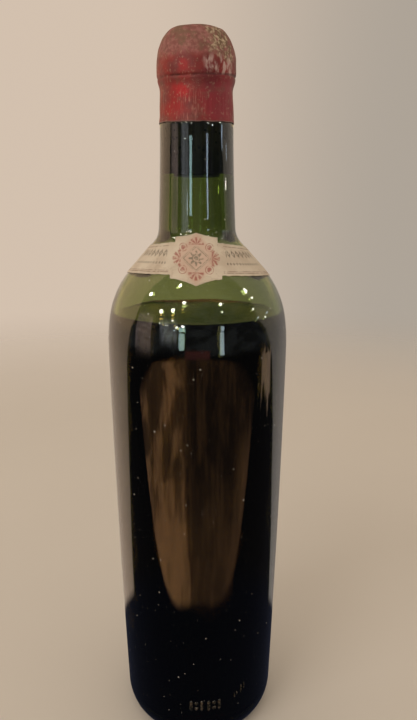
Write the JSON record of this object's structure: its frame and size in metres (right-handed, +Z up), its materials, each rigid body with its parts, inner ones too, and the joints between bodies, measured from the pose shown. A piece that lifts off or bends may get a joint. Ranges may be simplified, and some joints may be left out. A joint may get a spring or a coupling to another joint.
{
  "type": "wine bottle",
  "caption": "Upright glass wine bottle with a tapering body, filled with wine up to the shoulder, corked, with a foil cap and a paper neck label.",
  "frame": {"origin": "centre of the base, on the plane that the bottle stands on", "axes": "+Z up along the bottle's axis, -Y towards the badge at the front of the neck label"},
  "size_m": [0.0776, 0.0776, 0.305],
  "materials": {
    "green_glass": "clear olive green glass, fire-polished",
    "red_wine": "very dark red-brown liquid",
    "cork": "plain cork",
    "red_foil": "dull brick-red foil, worn and stained",
    "label_paper": "aged cream paper"
  },
  "bodies": {
    "root": {"glass_bottle": "green_glass", "wine": "red_wine", "cork": "cork", "capsule": "red_foil", "neck_label": "label_paper"}
  },
  "joints": []
}
